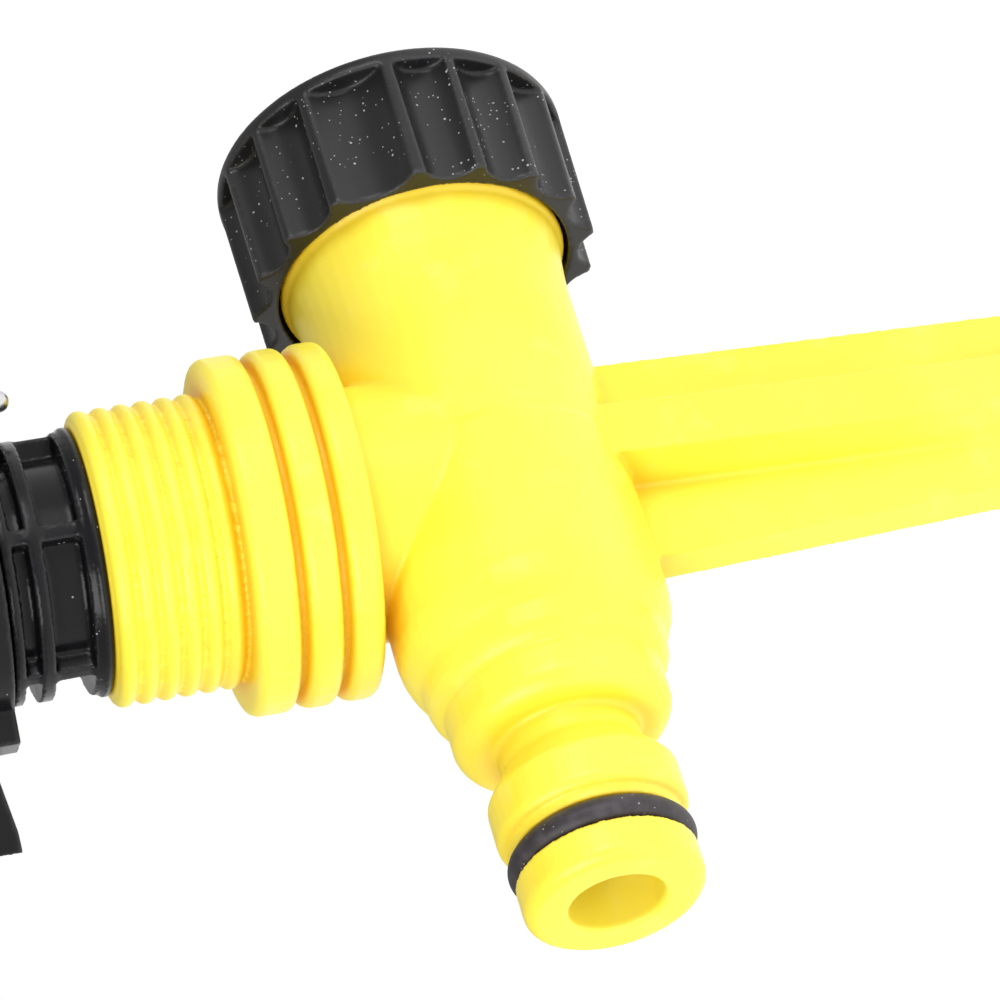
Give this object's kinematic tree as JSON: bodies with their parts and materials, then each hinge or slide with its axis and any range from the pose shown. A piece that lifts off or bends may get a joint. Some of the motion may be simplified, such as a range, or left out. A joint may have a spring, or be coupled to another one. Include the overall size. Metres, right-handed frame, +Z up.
{
  "type": "impact sprinkler",
  "caption": "Garden impact sprinkler on a ground spike: hose nipple, screw cap, turning head with hammer arm, stop collars and trip lever.",
  "frame": {"origin": "where the cross tube's axis meets the spike's axis, inside the moulded body", "axes": "+Z up the riser to the turning head, -Z down the spike, +X out of the hose nipple, -X to the cap"},
  "size_m": [0.0995, 0.0386, 0.331],
  "materials": {
    "yellow_moulding": "soft gloss",
    "black_moulding": "satin",
    "black_rubber": "matte",
    "white_nylon": "satin",
    "bright_steel": "drawn wire"
  },
  "bodies": {
    "base": {"spike_body": "yellow_moulding", "inlet_oring": "black_rubber", "bearing_sleeve": "black_moulding", "sleeve_oring": "black_rubber", "thrust_washer": "white_nylon", "bearing_spring": "bright_steel"},
    "cap_seal": {"cap_washer": "black_rubber"},
    "cap": {"end_cap": "black_moulding"},
    "lower_collar": {"sector_collar_lower": "black_moulding"},
    "upper_collar": {"sector_collar_upper": "black_moulding"},
    "head": {"head_body": "black_moulding", "nozzle_tip": "yellow_moulding", "rear_plug": "yellow_moulding", "stream_straightener": "white_nylon", "flap_pin": "bright_steel", "snap_ring": "white_nylon", "seal_washer": "black_rubber", "sand_guard": "black_moulding", "pivot_pin": "bright_steel", "spring_cap": "black_moulding", "arm_spring": "bright_steel", "trip_pin": "bright_steel"},
    "hammer": {"hammer_arm": "yellow_moulding", "arm_bush": "white_nylon", "arm_weight": "bright_steel"},
    "flap": {"deflector_flap": "yellow_moulding"},
    "diffuser_ring": {"diffuser_oring": "black_rubber"},
    "diffuser": {"diffuser_screw": "yellow_moulding"},
    "trip": {"trip_lever": "black_moulding", "wire_pin": "bright_steel"},
    "wire": {"trip_wire": "bright_steel"}
  },
  "joints": [
    {"name": "head_turn", "type": "hinge", "parent": "base", "child": "head", "pos_m": [0, 0, 0.05], "axis": [0, 0, 1], "continuous": true},
    {"name": "hammer_swing", "type": "hinge", "parent": "head", "child": "hammer", "pos_m": [0, 0, 0.1025], "axis": [0, 0, 1], "range_deg": [0, 75], "stiffness_Nm_per_rad": 0.01, "springref_deg": -34.38},
    {"name": "flap_tilt", "type": "hinge", "parent": "head", "child": "flap", "pos_m": [0.03452, 0, 0.10617], "axis": [0, 1, 0], "range_deg": [0, 35]},
    {"name": "diffuser_travel", "type": "slide", "parent": "head", "child": "diffuser_ring", "axis": [-0.3907, 0, 0.9205], "range_m": [0, 0.005]},
    {"name": "diffuser_turn", "type": "hinge", "parent": "diffuser_ring", "child": "diffuser", "pos_m": [0.04747, 0, 0.08385], "axis": [-0.3907, 0, 0.9205], "range_deg": [0, 2260]},
    {"name": "trip_tip", "type": "hinge", "parent": "head", "child": "trip", "pos_m": [-0.01144, 0.00939, 0.0706], "axis": [-0.7727, 0.6347, 0], "range_deg": [0, 24]},
    {"name": "wire_lift", "type": "hinge", "parent": "trip", "child": "wire", "pos_m": [-0.01144, 0.00939, 0.0615], "axis": [0.6347, 0.7727, 0], "range_deg": [0, 100]},
    {"name": "lower_collar_turn", "type": "hinge", "parent": "base", "child": "lower_collar", "pos_m": [0, 0, 0.047], "axis": [0, 0, 1], "continuous": true},
    {"name": "upper_collar_turn", "type": "hinge", "parent": "base", "child": "upper_collar", "pos_m": [0, 0, 0.052], "axis": [0, 0, 1], "continuous": true},
    {"name": "cap_travel", "type": "slide", "parent": "base", "child": "cap_seal", "axis": [-1, 0, 0], "range_m": [0, 0.016]},
    {"name": "cap_turn", "type": "hinge", "parent": "cap_seal", "child": "cap", "pos_m": [-0.03, 0, 0], "axis": [-1, 0, 0], "range_deg": [0, 3180]}
  ],
  "couplings": [
    {"joint": "cap_turn", "follows": "cap_travel", "rad_per_m": 3463.7},
    {"joint": "diffuser_turn", "follows": "diffuser_travel", "rad_per_m": 7854}
  ]
}
